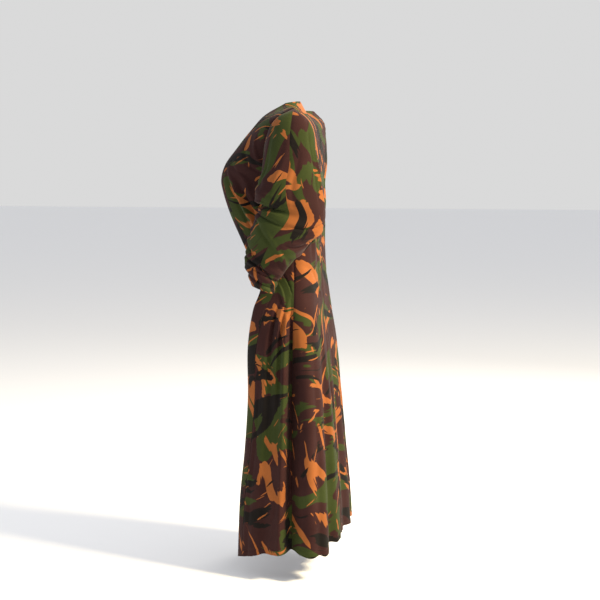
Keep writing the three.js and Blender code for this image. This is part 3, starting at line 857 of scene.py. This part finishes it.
def makeTwill():
    # fine slanting ribs with the yarns' unevenness
    group, entry, leave = newGroup(
        "twillWeave", [("Cloth", "NodeSocketVector", None)], [("Height", "NodeSocketFloat")]
    )
    cloth = entry.outputs["Cloth"]
    ribs = addNode(group, "ShaderNodeTexWave", bands_direction="DIAGONAL")
    fill(group, ribs.inputs["Vector"], cloth)
    fill(group, ribs.inputs["Scale"], clothFinish["twillScale"])
    fill(group, ribs.inputs["Distortion"], clothFinish["twillDistortion"])
    fill(group, ribs.inputs["Detail"], 1.0)
    yarn = noiseTexture(group, cloth, clothFinish["yarnScale"])
    fill(group, leave.inputs["Height"], mathStep(group, "ADD", ribs.outputs[1], yarn.outputs[0]))
    return group


camouflagePrint = makeCamouflagePrint()
twillWeave = makeTwill()


def makeCloth(name, fade):
    material = bpy.data.materials.new(name)
    material.use_nodes = True
    tree = material.node_tree
    surface = tree.nodes["Principled BSDF"]
    place = addNode(tree, "ShaderNodeUVMap", uv_map="cloth")
    pattern = addNode(tree, "ShaderNodeGroup", node_tree=camouflagePrint)
    fill(tree, pattern.inputs["Cloth"], place.outputs[0])
    pattern.inputs["Fade"].default_value = fade
    weave = addNode(tree, "ShaderNodeGroup", node_tree=twillWeave)
    fill(tree, weave.inputs["Cloth"], place.outputs[0])
    bump = addNode(tree, "ShaderNodeBump")
    bump.inputs["Distance"].default_value = clothFinish["twillDepth"]
    bump.inputs["Strength"].default_value = clothFinish["twillStrength"]
    fill(tree, bump.inputs["Height"], weave.outputs[0])
    fill(tree, surface.inputs["Base Color"], pattern.outputs["Colour"])
    fill(tree, surface.inputs["Roughness"], pattern.outputs["Roughness"])
    fill(tree, surface.inputs["Normal"], bump.outputs[0])
    surface.inputs["Specular IOR Level"].default_value = clothFinish["specular"]
    surface.inputs["Sheen Weight"].default_value = clothFinish["sheen"]
    surface.inputs["Sheen Roughness"].default_value = clothFinish["sheenRoughness"]
    return material


rightSide = makeCloth("camouflageTwill", 0.0)
wrongSide = makeCloth("camouflageTwillWrongSide", clothFinish["wrongSideFade"])
print("finishes made")

# Sheets

# the wall's thickness in millimetres, and the record's slot
sheetKinds = {
    "cloth": {"thickness": 1.0, "slot": "camouflage_cloth"},
    "band": {"thickness": 2.6, "slot": "band_cloth"},
}
smoothAngle = 50


def makeSheet(name, grid, cloth, outward, thickness):
    rows, columns = grid.shape[:2]
    index = np.arange(rows * columns).reshape(rows, columns)
    corners = [index[:-1, :-1], index[1:, :-1], index[1:, 1:], index[:-1, 1:]]
    quads = np.stack(corners, axis=-1).reshape(-1, 4)
    if outward < 0:
        quads = quads[:, ::-1]
    mesh = bpy.data.meshes.new(name)
    mesh.from_pydata((grid * mm).reshape(-1, 3).tolist(), [], quads.tolist())
    layer = mesh.uv_layers.new(name="cloth")
    layer.data.foreach_set("uv", cloth.reshape(-1, 2)[quads.ravel()].ravel())
    piece = bpy.data.objects.new(name, mesh)
    bpy.context.scene.collection.objects.link(piece)
    mesh.materials.append(rightSide)
    mesh.materials.append(wrongSide)
    bpy.ops.object.select_all(action="DESELECT")
    bpy.context.view_layer.objects.active = piece
    piece.select_set(True)
    wall = piece.modifiers.new("thickness", "SOLIDIFY")
    wall.thickness = thickness * mm
    wall.offset = 0
    wall.material_offset = 1
    bpy.ops.object.modifier_apply(modifier=wall.name)
    bpy.ops.object.shade_smooth_by_angle(angle=math.radians(smoothAngle))
    return piece


def addSheet(node, kind, grid, cloth, outward):
    # one sheet of cloth in the place of its solid
    piece = makeSheet(f"{node}_cloth", grid, cloth, outward, sheetKinds[kind]["thickness"])
    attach(piece, "root")
    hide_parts(node)


stitching = {
    "pitch": 4.4,
    "length": 3.4,
    "width": 0.55,
    "crown": 1.6,       # how far a thread's top stands out, against its sides
    "endDepth": 0.3,
    "bandInset": 2.6,
    "threadColour": (0.085, 0.055, 0.03, 1),
    "threadRoughness": 0.6,
}


def pointsBeside(grid, outward, axis, inset, kind):
    # a line of points at a distance from the last border, on the cloth's face, with its directions
    lift = sheetKinds[kind]["thickness"] / 2
    away = np.abs(distancesFrom(grid, axis, -1))
    normal = surfaceNormals(grid) * outward
    lines = []
    for i in range(grid.shape[1 - axis]):
        pick = (i, slice(None)) if axis == 1 else (slice(None), i)
        order = np.argsort(away[pick])
        known = away[pick][order]
        both = np.concatenate([grid[pick][order], normal[pick][order]], axis=1)
        lines.append([np.interp(inset, known, both[:, column]) for column in range(6)])
    lines = np.array(lines)
    lines[:, :3] += lines[:, 3:] * lift
    length = lengthsAlong(lines[:, :3])
    middles = np.arange(stitching["pitch"], length[-1] - stitching["pitch"], stitching["pitch"])

    def at(places):
        return np.stack([np.interp(places, length, column) for column in lines.T], axis=1)

    half = stitching["length"] / 2
    return at(middles - half)[:, :3], at(middles), at(middles + half)[:, :3]


def stitchMesh(rows):
    # each stitch is a short thread, thick in its middle, with both ends sunk in the cloth
    points, faces = [], []
    for starts, middles, ends in rows:
        along = ends - starts
        along /= np.linalg.norm(along, axis=1, keepdims=True)
        up = middles[:, 3:]
        sideways = np.cross(along, up)
        half = stitching["width"] / 2
        directions = (up * stitching["crown"], sideways, -up, -sideways)
        ring = [middles[:, :3] + half * direction for direction in directions]
        sunk = [starts - up * stitching["endDepth"], ends - up * stitching["endDepth"]]
        base = len(points)
        points.extend(np.stack([sunk[0], *ring, sunk[1]], axis=1).reshape(-1, 3).tolist())
        for first in range(base, base + 6 * len(middles), 6):
            for k in range(4):
                nextK = (k + 1) % 4
                faces.append((first, first + 1 + nextK, first + 1 + k))
                faces.append((first + 5, first + 1 + k, first + 1 + nextK))
    return points, faces


# How each sheet lies on the printed cloth: degrees turned, then metres along and across
clothLays = {
    "front": (4, 0.31, 0.12),
    "back": (-3, 5.2, 0.3),
    "band": (0, 1.9, 0.5),
    "neck": (0, 0.9, 0.3),
    "sleeve_front": (90, 2.7, 0.2),
    "sleeve_back": (84, 3.6, 0.2),
}
sides = {
    "left": {"half": leftHalf, "sign": 1, "seed": 1.3, "shift": 0.0},
    "right": {"half": rightHalf, "sign": -1, "seed": 4.1, "shift": 0.77},
}
# added to a side's seed, so that no two sheets ripple alike
partSeeds = {"front": 0, "back": 1.3, "sleeve_front": 90, "sleeve_back": 84}
levelRow = armholeRows - 1  # a body's print is level at the underarm
bodyHem, sleeveHem = robeForm["bodyHem"], robeForm["sleeveHem"]

hemRows, bandRows = [], []
for side, given in sides.items():
    half, sign, seed, shift = given["half"], given["sign"], given["seed"], given["shift"]
    front = rippled(half["front"], sign, seed + partSeeds["front"], bodyHem)
    cloth = clothPlaces(front, levelRow, 0, clothLays["front"], shift, sign)
    addSheet(f"front_{side}", "cloth", front, cloth, sign)
    hemRows.append(pointsBeside(front, sign, 0, bodyHem, "cloth"))
    band = half["band"]
    cloth = clothPlaces(band, 0, 0, clothLays["band"], shift)
    addSheet(f"band_{side}", "band", band, cloth, sign)
    bandRows.append(pointsBeside(band, sign, 1, stitching["bandInset"], "band"))
    back = rippled(half["back"], sign, seed + partSeeds["back"], bodyHem)
    cloth = clothPlaces(back, levelRow, -1, clothLays["back"], shift, sign)
    addSheet(f"back_{side}", "cloth", back, cloth, sign)
    hemRows.append(pointsBeside(back, sign, 0, bodyHem, "cloth"))
    for part, outward in (("front", -sign), ("back", sign)):
        key = f"sleeve_{part}"
        sleeve = rippled(half[key], outward, seed + partSeeds[key], sleeveHem)
        elbowRow = sleeve.shape[0] * 2 // 5
        cloth = clothPlaces(sleeve, elbowRow, 0, clothLays[key], shift)
        addSheet(f"sleeve_{side}_{part}", "cloth", sleeve, cloth, outward)
        hemRows.append(pointsBeside(sleeve, outward, 0, sleeveHem, "cloth"))

neck = np.concatenate([rightHalf["neck"][:0:-1], leftHalf["neck"]])
addSheet("band_neck", "band", neck, clothPlaces(neck, 0, 0, clothLays["neck"]), 1)
bandRows.append(pointsBeside(neck, 1, 1, stitching["bandInset"], "band"))

thread = bpy.data.materials.new("thread")
thread.use_nodes = True
threadSurface = thread.node_tree.nodes["Principled BSDF"]
threadSurface.inputs["Base Color"].default_value = stitching["threadColour"]
threadSurface.inputs["Roughness"].default_value = stitching["threadRoughness"]
for name, rows in (("hem_stitches", hemRows), ("band_stitches", bandRows)):
    points, faces = stitchMesh(rows)
    mesh = bpy.data.meshes.new(name)
    mesh.from_pydata((np.array(points) * mm).tolist(), [], faces)
    mesh.materials.append(thread)
    piece = bpy.data.objects.new(name, mesh)
    bpy.context.scene.collection.objects.link(piece)
    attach(piece, "root")
print("cloth pieces made")

# Floor, light and camera

studio = {
    "floorZ": -1.44,
    "floorSize": 60,
    "floorColour": (0.9, 0.91, 0.94, 1),
    "floorRoughness": 0.9,
    "worldColour": (1.0, 1.0, 1.0, 1),
    "worldStrength": 0.7,
    "cameraTurn": 100,
    "cameraDistance": 4.5,
    "cameraAim": (-0.0055, 0.0310, -0.59275),
    "cameraRise": 0.45675,
    "lens": 86.2,
    "sensor": 36,
}
# name, place, aim, size, power, colour
lights = [
    ("keyLight", (1.1, 3.3, 1.9), (0, 0.0, -0.5), (0.8, 0.8), 470, (1.0, 0.83, 0.54)),
    ("frontLight", (0.6, -3.6, 0.9), (0, 0, -0.6), (1.8, 1.8), 30, (0.95, 0.97, 1.0)),
    ("farLight", (-3.0, 1.2, 1.2), (0, 0, -0.5), (1.6, 1.6), 45, (1.0, 0.95, 0.88)),
]


def addAreaLight(name, place, aim, size, power, colour):
    data = bpy.data.lights.new(name, "AREA")
    data.shape = "RECTANGLE"
    data.size, data.size_y = size
    data.energy = power
    data.color = colour
    light = bpy.data.objects.new(name, data)
    light.location = place
    light.rotation_euler = (Vector(aim) - Vector(place)).to_track_quat("-Z", "Y").to_euler()
    bpy.context.scene.collection.objects.link(light)


bpy.ops.mesh.primitive_plane_add(size=studio["floorSize"], location=(0, 0, studio["floorZ"]))
floor = bpy.context.object
floor.name = "floor"
floorMaterial = bpy.data.materials.new("paleFloor")
floorMaterial.use_nodes = True
floorSurface = floorMaterial.node_tree.nodes["Principled BSDF"]
floorSurface.inputs["Base Color"].default_value = studio["floorColour"]
floorSurface.inputs["Roughness"].default_value = studio["floorRoughness"]
floor.data.materials.append(floorMaterial)

world = bpy.data.worlds.new("studio")
world.use_nodes = True
background = world.node_tree.nodes["Background"]
background.inputs[0].default_value = studio["worldColour"]
background.inputs[1].default_value = studio["worldStrength"]
bpy.context.scene.world = world

for light in lights:
    addAreaLight(*light)

turn = math.radians(studio["cameraTurn"])
aim = Vector(studio["cameraAim"])
place = aim + Vector((math.sin(turn), -math.cos(turn), 0)) * studio["cameraDistance"]
place.z += studio["cameraRise"]
cameraData = bpy.data.cameras.new("camera")
cameraData.lens = studio["lens"]
cameraData.sensor_width = studio["sensor"]
camera = bpy.data.objects.new("camera", cameraData)
camera.location = place
camera.rotation_euler = (aim - place).to_track_quat("-Z", "Y").to_euler()
bpy.context.scene.collection.objects.link(camera)
bpy.context.scene.camera = camera
bpy.context.scene.view_settings.view_transform = "Standard"
print("studio set up")
